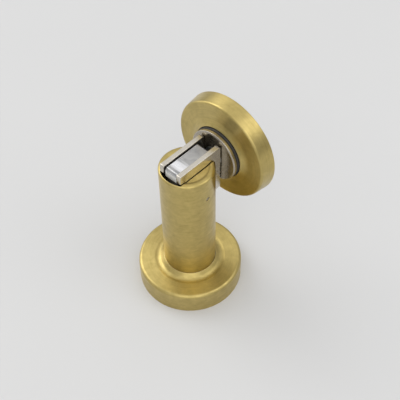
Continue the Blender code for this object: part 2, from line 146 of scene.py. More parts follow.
# %% A small helper for nodes
def add_node(tree, kind, inputs=None, **settings):
    """A new node, with its own settings and the values of its named inputs."""
    made = tree.nodes.new(kind)
    for name, value in settings.items():
        setattr(made, name, value)
    for name, value in (inputs or {}).items():
        made.inputs[name].default_value = value
    return made


# %% The room: brighter from the horizon up
world = bpy.data.worlds.new("soft_room")
world.use_nodes = True
bpy.context.scene.world = world
bpy.context.scene.view_settings.view_transform = "Standard"
sky = world.node_tree
sky.nodes.clear()
direction = add_node(sky, "ShaderNodeTexCoord")
height = add_node(sky, "ShaderNodeSeparateXYZ")
by_height = add_node(sky, "ShaderNodeValToRGB")
sky.links.new(direction.outputs["Generated"], height.inputs["Vector"])
sky.links.new(height.outputs["Z"], by_height.inputs["Fac"])
greys = [(0.0, 0.50), (0.40, 0.60), (0.77, 0.98), (1.0, 1.20)]
ramp = by_height.color_ramp
ramp.elements[1].position = 1.0
for position, grey in greys:
    stop = (ramp.elements[0] if position == 0 else ramp.elements[-1] if position == 1
            else ramp.elements.new(position))
    stop.color = (grey, grey, grey, 1)
room = by_height.outputs["Color"]


# %% The windows, each a smooth bright patch round a direction
def add_window(room, towards, reach_degrees, brightness):
    """Brighten the room round a direction, fading out over an angle."""
    facing = add_node(sky, "ShaderNodeVectorMath", operation="DOT_PRODUCT")
    facing.inputs[1].default_value = Vector(towards).normalized()
    patch = add_node(sky, "ShaderNodeMapRange", interpolation_type="SMOOTHSTEP",
                     inputs={"From Min": math.cos(math.radians(reach_degrees)), "From Max": 1.0,
                             "To Min": 0.0, "To Max": brightness})
    lit = add_node(sky, "ShaderNodeMix", data_type="RGBA", blend_type="ADD", clamp_factor=False)
    lit.inputs["B"].default_value = (1, 1, 1, 1)
    sky.links.new(direction.outputs["Generated"], facing.inputs[0])
    sky.links.new(facing.outputs["Value"], patch.inputs["Value"])
    sky.links.new(patch.outputs["Result"], lit.inputs["Factor"])
    sky.links.new(room, lit.inputs["A"])
    return lit.outputs["Result"]


windows = {
    "low on the left": ((-0.22, 0.97, 0.05), 26, 1.3),
    "high on the left": ((-0.10, 0.75, 0.65), 28, 2.3),
    "high on the right": ((0.35, -0.54, 0.77), 26, 1.2),
    "behind the camera": ((-0.57, -0.57, 0.60), 38, 1.1),
}
for towards, reach_degrees, brightness in windows.values():
    room = add_window(room, towards, reach_degrees, brightness)
room_strength = 0.88
background = add_node(sky, "ShaderNodeBackground", inputs={"Strength": room_strength})
world_output = add_node(sky, "ShaderNodeOutputWorld")
sky.links.new(room, background.inputs["Color"])
sky.links.new(background.outputs["Background"], world_output.inputs["Surface"])

# %% The broad lamp
lamp_data = bpy.data.lights.new("window_light", "SUN")
lamp_data.angle = math.radians(60)
lamp_data.energy = 0.15
lamp = bpy.data.objects.new("window_light", lamp_data)
bpy.context.scene.collection.objects.link(lamp)
lamp.rotation_euler = (-Vector((0.02, 0.86, 0.70))).to_track_quat("-Z", "Y").to_euler()

# %% Floor
bpy.ops.object.select_all(action="DESELECT")
bpy.ops.mesh.primitive_plane_add(size=8.0, location=(0, 0, 0))
floor = bpy.context.object
floor.name = "floor"
floor_material = bpy.data.materials.new("pale_table")
floor_material.use_nodes = True
floor_tree = floor_material.node_tree
floor_shader = floor_tree.nodes["Principled BSDF"]
floor_shader.inputs["Roughness"].default_value = 0.75
floor_shader.inputs["Specular IOR Level"].default_value = 0.15
floor_place = add_node(floor_tree, "ShaderNodeTexCoord")
floor_mottle = add_node(floor_tree, "ShaderNodeTexNoise", inputs={"Scale": 9.0})
floor_tone = add_node(floor_tree, "ShaderNodeMix", data_type="RGBA")
floor_tone.inputs["A"].default_value = (0.622, 0.622, 0.621, 1)
floor_tone.inputs["B"].default_value = (0.638, 0.638, 0.637, 1)
floor_tree.links.new(floor_place.outputs["Object"], floor_mottle.inputs["Vector"])
floor_tree.links.new(floor_mottle.outputs["Fac"], floor_tone.inputs["Factor"])
floor_tree.links.new(floor_tone.outputs["Result"], floor_shader.inputs["Base Color"])
floor.data.materials.append(floor_material)

# %% [markdown]
# ## Effects that several finishes share
#
# Three effects come back in nearly every finish, so each is a node group with named inputs.
# Turning marks are the fine rings that brushing leaves on a piece while it spins on a lathe.
# Handling marks are soft clouds of slightly different gloss. The edge mask finds the thin lines
# along the edges, where a finish gets a lighter colour: partly wear where a corner has lost its
# top layer, and partly a painted highlight.


# %% A helper for node groups
def new_group(name, inputs, outputs):
    """An empty node group with sockets, and its two end nodes."""
    group = bpy.data.node_groups.new(name, "ShaderNodeTree")
    for socket, (kind, value) in inputs.items():
        made = group.interface.new_socket(name=socket, in_out="INPUT", socket_type=kind)
        if value is not None:
            made.default_value = value
    for socket, kind in outputs.items():
        group.interface.new_socket(name=socket, in_out="OUTPUT", socket_type=kind)
    return group, group.nodes.new("NodeGroupInput"), group.nodes.new("NodeGroupOutput")


# %% [markdown]
# ### Turning marks
#
# The marks run round the axis, so the pattern has to change quickly along the radius and the
# height, and hardly at all round the turn. The direction from the axis goes into the noise as a
# unit vector, and not as an angle, because an angle jumps where the turn closes and would show
# as a seam.

# %% Turning marks
turning_marks, given, result = new_group(
    "turning_marks",
    {"Vector": ("NodeSocketVector", None), "Rings per metre": ("NodeSocketFloat", 1400.0),
     "Round the turn": ("NodeSocketFloat", 2.0)},
    {"Marks": "NodeSocketFloat"},
)
link = turning_marks.links.new
ring_range = add_node(turning_marks, "ShaderNodeMapRange",
                      inputs={"From Min": 0.3, "From Max": 0.7})
flat = add_node(turning_marks, "ShaderNodeVectorMath", operation="MULTIPLY")
flat.inputs[1].default_value = (1, 1, 0)
outward = add_node(turning_marks, "ShaderNodeVectorMath", operation="NORMALIZE")
reach = add_node(turning_marks, "ShaderNodeVectorMath", operation="LENGTH")
round_turn = add_node(turning_marks, "ShaderNodeVectorMath", operation="SCALE")
parts_of_turn = add_node(turning_marks, "ShaderNodeSeparateXYZ")
axial = add_node(turning_marks, "ShaderNodeSeparateXYZ")
ring_place = add_node(turning_marks, "ShaderNodeMath", operation="MULTIPLY")
ring_height = add_node(turning_marks, "ShaderNodeMath", operation="MULTIPLY")
noise_place = add_node(turning_marks, "ShaderNodeCombineXYZ")
ring_noise = add_node(turning_marks, "ShaderNodeTexNoise", noise_dimensions="4D",
                      inputs={"Scale": 1.0, "Detail": 3.0, "Roughness": 0.65})
link(given.outputs["Vector"], flat.inputs[0])
link(given.outputs["Vector"], axial.inputs["Vector"])
link(flat.outputs["Vector"], outward.inputs[0])
link(flat.outputs["Vector"], reach.inputs[0])
link(outward.outputs["Vector"], round_turn.inputs[0])
link(given.outputs["Round the turn"], round_turn.inputs["Scale"])
link(round_turn.outputs["Vector"], parts_of_turn.inputs["Vector"])
link(reach.outputs["Value"], ring_place.inputs[0])
link(given.outputs["Rings per metre"], ring_place.inputs[1])
link(axial.outputs["Z"], ring_height.inputs[0])
link(given.outputs["Rings per metre"], ring_height.inputs[1])
link(parts_of_turn.outputs["X"], noise_place.inputs["X"])
link(parts_of_turn.outputs["Y"], noise_place.inputs["Y"])
link(ring_place.outputs["Value"], noise_place.inputs["Z"])
link(noise_place.outputs["Vector"], ring_noise.inputs["Vector"])
link(ring_height.outputs["Value"], ring_noise.inputs["W"])
link(ring_noise.outputs["Fac"], ring_range.inputs["Value"])
link(ring_range.outputs["Result"], result.inputs["Marks"])

# %% [markdown]
# ### Handling marks
#
# Fingers leave a satin surface a little glossier here and a little duller there. One soft noise
# at the size of a fingertip, with finer ones on top, is enough. The output is a mask from 0 to 1
# that each finish uses in its own way.

# %% Handling marks
handling_marks, given, result = new_group(
    "handling_marks",
    {"Vector": ("NodeSocketVector", None), "Patches per metre": ("NodeSocketFloat", 90.0)},
    {"Patches": "NodeSocketFloat"},
)
link = handling_marks.links.new
patch_noise = add_node(handling_marks, "ShaderNodeTexNoise",
                       inputs={"Detail": 4.0, "Roughness": 0.55, "Distortion": 0.6})
patch_range = add_node(handling_marks, "ShaderNodeMapRange",
                       inputs={"From Min": 0.3, "From Max": 0.7})
link(given.outputs["Vector"], patch_noise.inputs["Vector"])
link(given.outputs["Patches per metre"], patch_noise.inputs["Scale"])
link(patch_noise.outputs["Fac"], patch_range.inputs["Value"])
link(patch_range.outputs["Result"], result.inputs["Patches"])

# %% [markdown]
# ### Edge mask, for wear and painted highlights
#
# A Bevel node returns the normal of a slightly rounded version of the shape. Where it differs
# from the true normal there is an edge, so one minus their dot product makes a mask of edges,
# without an image texture. The metals lighten their colour along this mask, partly for wear and
# partly as a painted highlight. The group also hands on the rounded normal, which keeps the
# corners of thin sheet from looking razor sharp.

# %% Edge mask for wear and painted highlights
edge_mask, given, result = new_group(
    "edge_mask",
    {"Width": ("NodeSocketFloat", 0.35 * MM), "Strength": ("NodeSocketFloat", 5.0)},
    {"Edges": "NodeSocketFloat", "Soft normal": "NodeSocketVector"},
)
link = edge_mask.links.new
soft_corner = add_node(edge_mask, "ShaderNodeBevel", samples=6)
true_normal = add_node(edge_mask, "ShaderNodeNewGeometry")
agreement = add_node(edge_mask, "ShaderNodeVectorMath", operation="DOT_PRODUCT")
difference = add_node(edge_mask, "ShaderNodeMath", operation="SUBTRACT")
difference.inputs[0].default_value = 1.0
edge_gain = add_node(edge_mask, "ShaderNodeMath", operation="MULTIPLY", use_clamp=True)
link(given.outputs["Width"], soft_corner.inputs["Radius"])
link(soft_corner.outputs["Normal"], agreement.inputs[0])
link(true_normal.outputs["Normal"], agreement.inputs[1])
link(agreement.outputs["Value"], difference.inputs[1])
link(difference.outputs["Value"], edge_gain.inputs[0])
link(given.outputs["Strength"], edge_gain.inputs[1])
link(edge_gain.outputs["Value"], result.inputs["Edges"])
link(soft_corner.outputs["Normal"], result.inputs["Soft normal"])

# %% [markdown]
# ## Finishes
#
# One function wires the three effects into a metal, because all the metals here differ only in
# their colours, gloss and grain. The visible rings change the tone and the gloss a little, and a
# finer set goes into a Bump node. A wide and very shallow bump stands for thin sheet that never
# comes quite flat off the press.
#
# Brushing also spreads the reflections, but only across its lines. The shader has this built in
# as anisotropy: the Tangent node gives the direction round the axis, and a quarter turn of
# Anisotropic Rotation puts the spread across it. A Mapping node turns the pattern so that its
# axis is the axis of the piece.


# %% Metal finish
turn_of_axis = {"Z": (0, 0, 0), "X": (0, quarter_turn, 0)}


def metal(name, plain, marked, edge_wear_and_highlight, gloss, rings, grain, sway=0.0, patches_per_metre=90.0,
          brushed=0.0, lacquer=0.0, axis="Z", axis_place=(0, 0, 0)):
    """A metal. gloss: least and most roughness; grain and sway: bump heights in mm."""
    material = bpy.data.materials.new(name)
    material.use_nodes = True
    tree = material.node_tree
    link = tree.links.new
    shader = tree.nodes["Principled BSDF"]
    shader.inputs["Metallic"].default_value = 1.0
    shader.inputs["Coat Weight"].default_value = lacquer
    shader.inputs["Coat Roughness"].default_value = 0.3
    if brushed:
        shader.inputs["Anisotropic"].default_value = brushed
        shader.inputs["Anisotropic Rotation"].default_value = 0.25
        round_axis = add_node(tree, "ShaderNodeTangent", direction_type="RADIAL", axis=axis)
        link(round_axis.outputs["Tangent"], shader.inputs["Tangent"])
    place = add_node(tree, "ShaderNodeTexCoord")
    on_axis = add_node(tree, "ShaderNodeMapping", vector_type="TEXTURE",
                       inputs={"Location": axis_place, "Rotation": turn_of_axis[axis]})
    marks = add_node(tree, "ShaderNodeGroup", node_tree=turning_marks)
    marks.inputs["Rings per metre"].default_value = rings
    fine_marks = add_node(tree, "ShaderNodeGroup", node_tree=turning_marks)
    fine_marks.inputs["Rings per metre"].default_value = 4.0 * rings
    patches = add_node(tree, "ShaderNodeGroup", node_tree=handling_marks)
    patches.inputs["Patches per metre"].default_value = patches_per_metre
    edges = add_node(tree, "ShaderNodeGroup", node_tree=edge_mask)
    both = add_node(tree, "ShaderNodeMix", data_type="FLOAT", inputs={"Factor": 0.55})
    colour = add_node(tree, "ShaderNodeMix", data_type="RGBA")
    colour.inputs["A"].default_value = (*plain, 1)
    colour.inputs["B"].default_value = (*marked, 1)
    # Along the edges the colour turns lighter: partly wear, partly a painted highlight.
    edged = add_node(tree, "ShaderNodeMix", data_type="RGBA")
    edged.inputs["B"].default_value = (*edge_wear_and_highlight, 1)
    roughness = add_node(tree, "ShaderNodeMapRange",
                         inputs={"To Min": gloss[0], "To Max": gloss[1]})
    wide_bump = add_node(tree, "ShaderNodeBump", inputs={"Distance": sway * MM, "Strength": 1.0})
    fine_bump = add_node(tree, "ShaderNodeBump", inputs={"Distance": grain * MM, "Strength": 1.0})
    slow_noise = add_node(tree, "ShaderNodeTexNoise", inputs={"Scale": 70.0, "Detail": 1.0})
    link(place.outputs["Object"], on_axis.inputs["Vector"])
    for effect in (marks, fine_marks, patches, slow_noise):
        link(on_axis.outputs["Vector"], effect.inputs["Vector"])
    link(marks.outputs["Marks"], both.inputs["A"])
    link(patches.outputs["Patches"], both.inputs["B"])
    link(both.outputs["Result"], colour.inputs["Factor"])
    link(colour.outputs["Result"], edged.inputs["A"])
    link(edges.outputs["Edges"], edged.inputs["Factor"])
    link(edged.outputs["Result"], shader.inputs["Base Color"])
    link(both.outputs["Result"], roughness.inputs["Value"])
    link(roughness.outputs["Result"], shader.inputs["Roughness"])
    link(slow_noise.outputs["Fac"], wide_bump.inputs["Height"])
    link(edges.outputs["Soft normal"], wide_bump.inputs["Normal"])
    link(fine_marks.outputs["Marks"], fine_bump.inputs["Height"])
    link(wide_bump.outputs["Normal"], fine_bump.inputs["Normal"])
    link(fine_bump.outputs["Normal"], shader.inputs["Normal"])
    return material


# %% [markdown]
# The brass is the same on all three drawn pieces, under a thin clear lacquer. The cup on the
# door turns about another axis than the post, so it gets its own copy with the pattern laid over,
# and the flange near the floor is a little duller. The nickel plate is brighter and smoother,
# and the steel of the hidden plates is zinc-plated and dull.

# %% Finishes of the metals
# The third colour of each metal is for its edges: partly wear, partly a painted highlight.
brass_colours = (0.60, 0.47, 0.170), (0.42, 0.325, 0.105), (0.74, 0.61, 0.30)
nickel_edge_wear_and_highlight = (0.97, 0.94, 0.88)
nickel_colours = (0.71, 0.67, 0.59), (0.57, 0.53, 0.46), nickel_edge_wear_and_highlight
disc_colours = (0.46, 0.42, 0.35), (0.36, 0.32, 0.26), nickel_edge_wear_and_highlight
zinc_colours = (0.50, 0.51, 0.53), (0.40, 0.41, 0.42), (0.70, 0.71, 0.72)
wire_colours = (0.36, 0.32, 0.24), (0.26, 0.23, 0.17), (0.50, 0.46, 0.36)
brass_look = {"rings": 1400, "grain": 0.004, "sway": 0.05, "patches_per_metre": 280,
              "lacquer": 0.25}
zinc_look = {"gloss": (0.32, 0.48), "rings": 900, "grain": 0.004}
on_cup_axis = {"axis": "X", "axis_place": cup_axis}

brass = metal("satin_brass", *brass_colours, gloss=(0.28, 0.38), brushed=0.75, **brass_look)
brass_flange = metal("satin_brass_flange", *brass_colours, gloss=(0.31, 0.43), brushed=0.7,
                     **brass_look)
brass_on_door = metal("satin_brass_on_door", *brass_colours, gloss=(0.28, 0.38), brushed=0.75,
                      **brass_look, **on_cup_axis)
nickel = metal("bright_nickel", *nickel_colours, gloss=(0.20, 0.30), rings=400, grain=0.0008,
               sway=0.04)
nickel_disc = metal("bright_nickel_disc", *disc_colours, gloss=(0.20, 0.30), rings=900,
                    grain=0.0008, **on_cup_axis)
zinc = metal("zinc_steel", *zinc_colours, **zinc_look)
zinc_on_door = metal("zinc_steel_on_door", *zinc_colours, **zinc_look, **on_cup_axis)
spring_wire = metal("spring_steel", *wire_colours, gloss=(0.30, 0.42), rings=1200, grain=0.002)

# %% [markdown]
# ### The ground magnet
#
# The magnet was ground flat before it was plated, with strokes across its length. Most of its
# top is a cloudy grey. Towards the front the strokes are brighter and smoother, where things
# have rubbed against it. The strokes come from a noise that is stretched along Y, and the
# rubbed patch from a ramp along X whose ends are made ragged by the strokes themselves.

# %% Finish of the magnet
magnet_skin = bpy.data.materials.new("magnet_nickel")
magnet_skin.use_nodes = True
tree = magnet_skin.node_tree
link = tree.links.new
shader = tree.nodes["Principled BSDF"]
shader.inputs["Metallic"].default_value = 1.0
place = add_node(tree, "ShaderNodeTexCoord")
stretched = add_node(tree, "ShaderNodeMapping", inputs={"Scale": (1500, 110, 600)})
strokes = add_node(tree, "ShaderNodeTexNoise", inputs={"Scale": 1.0, "Detail": 2.0})
along = add_node(tree, "ShaderNodeSeparateXYZ")
ragged = add_node(tree, "ShaderNodeMath", operation="MULTIPLY_ADD")
ragged.inputs[1].default_value = 3.5 * MM
rubbed = add_node(tree, "ShaderNodeValToRGB")
in_range = add_node(tree, "ShaderNodeMapRange",
                    inputs={"From Min": magnet_low.x, "From Max": magnet_high.x})
clouds = add_node(tree, "ShaderNodeGroup", node_tree=handling_marks)
clouds.inputs["Patches per metre"].default_value = 260.0
# At this strength the edge mask, with the near-white colour below, paints a bright highlight line
# along the edges of the chamfers.
edges = add_node(tree, "ShaderNodeGroup", node_tree=edge_mask)
edges.inputs["Strength"].default_value = 60.0
grey = add_node(tree, "ShaderNodeMix", data_type="RGBA")
grey.inputs["A"].default_value = (0.33, 0.33, 0.335, 1)
grey.inputs["B"].default_value = (0.50, 0.495, 0.485, 1)
bright = add_node(tree, "ShaderNodeMix", data_type="RGBA")
bright.inputs["B"].default_value = (0.95, 0.95, 0.97, 1)
# Painted highlight: the edges of the chamfers turn near-white.
edged = add_node(tree, "ShaderNodeMix", data_type="RGBA")
edged.inputs["B"].default_value = (0.92, 0.92, 0.92, 1)
roughness = add_node(tree, "ShaderNodeMapRange", inputs={"To Min": 0.42, "To Max": 0.22})
scratch_bump = add_node(tree, "ShaderNodeBump", inputs={"Distance": 0.004 * MM})
ramp = rubbed.color_ramp
ramp.elements[0].position = 0.21
ramp.elements[0].color = (0, 0, 0, 1)
ramp.elements[1].position = 0.50
ramp.elements[1].color = (0, 0, 0, 1)
ramp.elements.new(0.27).color = (1, 1, 1, 1)
ramp.elements.new(0.38).color = (0.8, 0.8, 0.8, 1)
link(place.outputs["Object"], stretched.inputs["Vector"])
link(place.outputs["Object"], along.inputs["Vector"])
link(place.outputs["Object"], clouds.inputs["Vector"])
link(stretched.outputs["Vector"], strokes.inputs["Vector"])
link(strokes.outputs["Fac"], ragged.inputs[0])
link(along.outputs["X"], ragged.inputs[2])
link(ragged.outputs["Value"], in_range.inputs["Value"])
link(in_range.outputs["Result"], rubbed.inputs["Fac"])
link(clouds.outputs["Patches"], grey.inputs["Factor"])
link(grey.outputs["Result"], bright.inputs["A"])
link(rubbed.outputs["Color"], bright.inputs["Factor"])
link(bright.outputs["Result"], edged.inputs["A"])
link(edges.outputs["Edges"], edged.inputs["Factor"])
link(edged.outputs["Result"], shader.inputs["Base Color"])
link(rubbed.outputs["Color"], roughness.inputs["Value"])
link(roughness.outputs["Result"], shader.inputs["Roughness"])
link(strokes.outputs["Fac"], scratch_bump.inputs["Height"])
link(scratch_bump.outputs["Normal"], shader.inputs["Normal"])

# %% Finish of the magnet's ends, which were sawn and not ground
magnet_end = metal("magnet_end", (0.86, 0.85, 0.80), (0.72, 0.71, 0.67), (0.95, 0.95, 0.93),
                   gloss=(0.50, 0.62), rings=900, grain=0.004)
magnet_end.node_tree.nodes["Principled BSDF"].inputs["Metallic"].default_value = 0.35


# %% [markdown]
# ### Black plastic and rubber
#
# Neither is pure black. A fine noise gives the surface its grain, and the dust that settles on
# a rubber ring makes its edges a little greyer.


# %% Black finishes
def black(name, plain, dusty, gloss, grain, grains_per_metre):
    """A moulded black. gloss: least and most roughness; grain: bump height in mm."""
    material = bpy.data.materials.new(name)
    material.use_nodes = True
    tree = material.node_tree
    link = tree.links.new
    shader = tree.nodes["Principled BSDF"]
    place = add_node(tree, "ShaderNodeTexCoord")
    patches = add_node(tree, "ShaderNodeGroup", node_tree=handling_marks)
    edges = add_node(tree, "ShaderNodeGroup", node_tree=edge_mask)
    fine = add_node(tree, "ShaderNodeTexNoise", inputs={"Scale": grains_per_metre, "Detail": 2.0})
    dust = add_node(tree, "ShaderNodeMath", operation="MULTIPLY_ADD", use_clamp=True)
    dust.inputs[1].default_value = 0.5
    colour = add_node(tree, "ShaderNodeMix", data_type="RGBA")
    colour.inputs["A"].default_value = (*plain, 1)
    colour.inputs["B"].default_value = (*dusty, 1)
    roughness = add_node(tree, "ShaderNodeMapRange",
                         inputs={"To Min": gloss[0], "To Max": gloss[1]})
    bump = add_node(tree, "ShaderNodeBump", inputs={"Distance": grain * MM})
    link(place.outputs["Object"], patches.inputs["Vector"])
    link(place.outputs["Object"], fine.inputs["Vector"])
    link(patches.outputs["Patches"], dust.inputs[0])
    link(edges.outputs["Edges"], dust.inputs[2])
    link(dust.outputs["Value"], colour.inputs["Factor"])
    link(colour.outputs["Result"], shader.inputs["Base Color"])
    link(patches.outputs["Patches"], roughness.inputs["Value"])
    link(roughness.outputs["Result"], shader.inputs["Roughness"])
    link(fine.outputs["Fac"], bump.inputs["Height"])
    link(edges.outputs["Soft normal"], bump.inputs["Normal"])
    link(bump.outputs["Normal"], shader.inputs["Normal"])
    return material


rubber = black("black_rubber", (0.022, 0.020, 0.018), (0.045, 0.041, 0.036),
               gloss=(0.5, 0.65), grain=0.02, grains_per_metre=2500)
nylon = black("black_nylon", (0.20, 0.195, 0.175), (0.26, 0.25, 0.23),
              gloss=(0.4, 0.5), grain=0.01, grains_per_metre=1800)
print("finishes:", len(bpy.data.materials))

# %% [markdown]
# ## Helpers for modelling
#
# The same few moves come back for each piece: start from nothing selected, pick edges by where
# they are, turn a profile as on a lathe, lay a piece over on to the door's axis, and finish it.


# %% Selecting
def deselect():
    bpy.ops.object.select_all(action="DESELECT")


def only(piece):
    """Select one piece, and make it the active one."""
    deselect()
    piece.select_set(True)
    bpy.context.view_layer.objects.active = piece


def pick_edges(piece, wanted):
    """In edit mode, select just the edges for which wanted(one end, other end) is true."""
    bpy.ops.mesh.select_all(action="DESELECT")
    bpy.ops.mesh.select_mode(type="EDGE")
    work = bmesh.from_edit_mesh(piece.data)
    for edge in work.edges:
        edge.select_set(wanted(edge.verts[0].co, edge.verts[1].co))
    work.select_flush_mode()
    bmesh.update_edit_mesh(piece.data)


def pick_points(piece, wanted):
    """In edit mode, select just the points for which wanted(place) is true."""
    bpy.ops.mesh.select_all(action="DESELECT")
    bpy.ops.mesh.select_mode(type="VERT")
    work = bmesh.from_edit_mesh(piece.data)
    for point in work.verts:
        point.select_set(wanted(point.co))
    work.select_flush_mode()
    bmesh.update_edit_mesh(piece.data)


def near(value, target, slack=0.02 * MM):
    return abs(value - target) < slack


# %% Thickening, cutting and softening, all by modifiers that are then applied
def apply_modifier(piece, modifier):
    only(piece)
    bpy.ops.object.modifier_apply(modifier=modifier.name)


def thicken(piece, wall):
    """Give a sheet its thickness, on the side away from its faces."""
    sheet = piece.modifiers.new("wall", "SOLIDIFY")
    sheet.thickness = wall
    sheet.offset = -1
    sheet.use_even_offset = True
    apply_modifier(piece, sheet)


def cut_out(piece, cutter):
    """Take a cutter out of a piece, and throw the cutter away."""
    hole = piece.modifiers.new("hole", "BOOLEAN")
    hole.operation = "DIFFERENCE"
    hole.object = cutter
    apply_modifier(piece, hole)
    bpy.data.objects.remove(cutter, do_unlink=True)


def soften(piece, width, segments=3, angle=35):
    """Round every edge that is sharper than the angle."""
    corner = piece.modifiers.new("corner", "BEVEL")
    corner.width = width
    corner.segments = segments
    corner.limit_method = "ANGLE"
    corner.angle_limit = math.radians(angle)
    apply_modifier(piece, corner)


# %% [markdown]
# ### The lathe
#
# A turned piece starts as a circle. Its edge is extruded along the axis and then resized, once
# for each ring of the profile. A closed piece comes back to its first ring, and a solid one has
# its open ends filled. Rings that need a fillet are bevelled afterwards, while they can still be
# found by their radius and height.

# %% Lathe
ROUND = 144
through = 40 * MM      # a drill of this length goes through any piece


def lathe(name, rings, rounded=(), wall=0.0, closed=False, filled=False, points=ROUND):
    """Turn a piece round Z. rings are (radius, height); rounded are (ring number, width)."""
    deselect()
    radius, place = rings[0]
    bpy.ops.mesh.primitive_circle_add(vertices=points, radius=radius, location=(0, 0, place))
    piece = bpy.context.object
    piece.name = name
    bpy.ops.object.transform_apply(location=True)
    bpy.ops.object.mode_set(mode="EDIT")
    bpy.ops.mesh.select_mode(type="EDGE")
    bpy.ops.mesh.select_all(action="SELECT")
    for next_radius, next_place in rings[1:] + rings[:1] * closed:
        bpy.ops.mesh.extrude_region_move(
            TRANSFORM_OT_translate={"value": (0, 0, next_place - place)})
        grow = next_radius / radius
        bpy.ops.transform.resize(value=(grow, grow, 1), center_override=(0, 0, next_place))
        radius, place = next_radius, next_place
    bpy.ops.mesh.select_all(action="SELECT")
    bpy.ops.mesh.remove_doubles(threshold=0.005 * MM)
    if filled:
        bpy.ops.mesh.fill_holes(sides=0)
    bpy.ops.mesh.normals_make_consistent(inside=False)
    for number, width in rounded:
        ring_radius, ring_place = rings[number]

        def on_ring(p):
            return near(p.z, ring_place) and near(math.hypot(p.x, p.y), ring_radius)

        pick_edges(piece, lambda a, b: on_ring(a) and on_ring(b))
        bpy.ops.mesh.bevel(offset=width, segments=6, affect="EDGES")
    bpy.ops.object.mode_set(mode="OBJECT")
    if wall:
        thicken(piece, wall)
    return piece


# %% Blocks and drills
def block(name, low, high):
    """A plain box between two corners."""
    deselect()
    low, high = Vector(low), Vector(high)
    bpy.ops.mesh.primitive_cube_add(size=1, location=(low + high) / 2, scale=high - low)
    piece = bpy.context.object
    piece.name = name
    bpy.ops.object.transform_apply(location=True, scale=True)
    return piece


def drill(radius, depth, location, rotation=(0, 0, 0), points=ROUND):
    """A round cutter."""
    deselect()
    bpy.ops.mesh.primitive_cylinder_add(vertices=points, radius=radius, depth=depth,
                                        location=location, rotation=rotation)
    return bpy.context.object


# %% Placing and finishing
def lay_on_door_axis(piece):
    """Turn a piece that was made round Z so that it lies along +X on the cup's axis."""
    only(piece)
    piece.rotation_euler = (0, quarter_turn, 0)
    piece.location = cup_axis
    bpy.ops.object.transform_apply(location=True, rotation=True)


def finish_piece(piece, material, body, nodes, smooth=40):
    """Shade a piece, give it its finish, let it ride on its body and stand for its nodes."""
    only(piece)
    bpy.ops.object.shade_smooth_by_angle(angle=math.radians(smooth))
    even = piece.modifiers.new("even_shading", "WEIGHTED_NORMAL")
    even.keep_sharp = True
    apply_modifier(piece, even)
    piece.data.materials.clear()
    piece.data.materials.append(material)
    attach(piece, body)
    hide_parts(*nodes)
    print(f"{piece.name}: {len(piece.data.polygons)} faces")


# %% [markdown]
# ## The flange
#
# On the real holder this is a drawn brass cover that slides down the post and hides the screws.
# It has a flat top, a shallow dish round the middle, and a cone that rises from it to the post.
# It could be a cylinder with insets, but a turned profile keeps every ring where it belongs, so
# it is turned as a thin sheet and thickened downwards. Its middle is then bored straight
# through. The cover is loose on the post and rests against one side of it, so the bore is a
# little off centre, and a dark gap shows at the front right only.

# %% Flange
sheet_wall = 0.9 * MM
collar_slope = math.tan(math.radians(45))
collar_foot = 14.9 * MM
flat_top = 11.5 * MM
dish_floor = 11.05 * MM
dish_radius = 17.1 * MM
bore_radius = 12.47 * MM
inside_bore = bore_radius - 0.8 * MM
bore_shift = 0.045 * MM
rim_round, dish_edge_round, cone_foot_round = 1.6 * MM, 0.35 * MM, 1.5 * MM

flange = lathe("flange", [
    (inside_bore, dish_floor + (collar_foot - inside_bore) * collar_slope),
    (collar_foot, dish_floor),
    (dish_radius, flat_top),
    (flange_radius, flat_top),
    (flange_radius, 0),
], rounded=[(3, rim_round), (2, dish_edge_round), (1, cone_foot_round)], wall=sheet_wall)
cut_out(flange, drill(bore_radius, through, (bore_shift, -bore_shift, flat_top)))
finish_piece(flange, brass_flange, "flange", ["base_cover"])

# %% [markdown]
# ## The post
#
# The post is a tube drawn with a closed end, so its top edge is round and the top itself is
# slightly dished. A slot for the head is milled across the top and down the rear, and a small
# hole for the cross pin is drilled through both walls. The tube is turned first, and blocks and
# a drill with the shapes of the slot and the hole are taken out of it.

# %% Post tube
post_wall = 0.7 * MM
dish = 0.45 * MM
dish_edge, lip_edge = 9.3 * MM, 10.2 * MM
post_rim_round, lip_round, dish_round = 1.1 * MM, 0.5 * MM, 0.45 * MM
middle_hole = 0.2 * MM     # the slot takes this away
post = lathe("post", [
    (middle_hole, post_top - dish),
    (dish_edge, post_top - dish),
    (lip_edge, post_top),
    (post_radius, post_top),
    (post_radius, post_foot),
], rounded=[(3, post_rim_round), (2, lip_round), (1, dish_round)], wall=post_wall)

# %% The slot across the top, which stops at the bore of the front wall
head_clearance = 0.3 * MM
slot_half = pole_high.y + head_clearance
slot_depth = 1.8 * MM
slot_length = 20.85 * MM
slot_floor = post_top - slot_length
slot_end_gap = 0.05 * MM    # the slot ends this far inside the bore
beyond = 2 * MM
slot_across = drill(post_radius - post_wall - slot_end_gap, 2 * slot_depth,
                    (0, 0, post_top))
bpy.ops.object.transform_apply(location=True)
bpy.ops.object.mode_set(mode="EDIT")
for side in (-1, 1):
    bpy.ops.mesh.select_all(action="SELECT")
    bpy.ops.mesh.bisect(plane_co=(0, side * slot_half, 0), plane_no=(0, side, 0),
                        use_fill=True, clear_outer=True)
bpy.ops.object.mode_set(mode="OBJECT")
cut_out(post, slot_across)

# %% The rest of the slot, and the pin's hole
pin_radius = (pin_high.z - pin_low.z) / 2
pin_clearance = 0.06 * MM
cut_out(post, block("slot_rear", (0, -slot_half, post_top - 0.9 * slot_depth),
                    (post_radius + beyond, slot_half, post_top + beyond)))
cut_out(post, block("slot_down", (post_radius / 2, -slot_half, slot_floor),
                    (post_radius + beyond, slot_half, post_top)))
cut_out(post, drill(pin_radius + pin_clearance, through, (0, 0, pin_height),
                    (quarter_turn, 0, 0), points=48))
finish_piece(post, brass, "floor_unit", ["post_tube"])

# %% [markdown]
# ## The cross pin
#
# Only its two ends show, a hair below the surface of the tube. They are slightly domed.

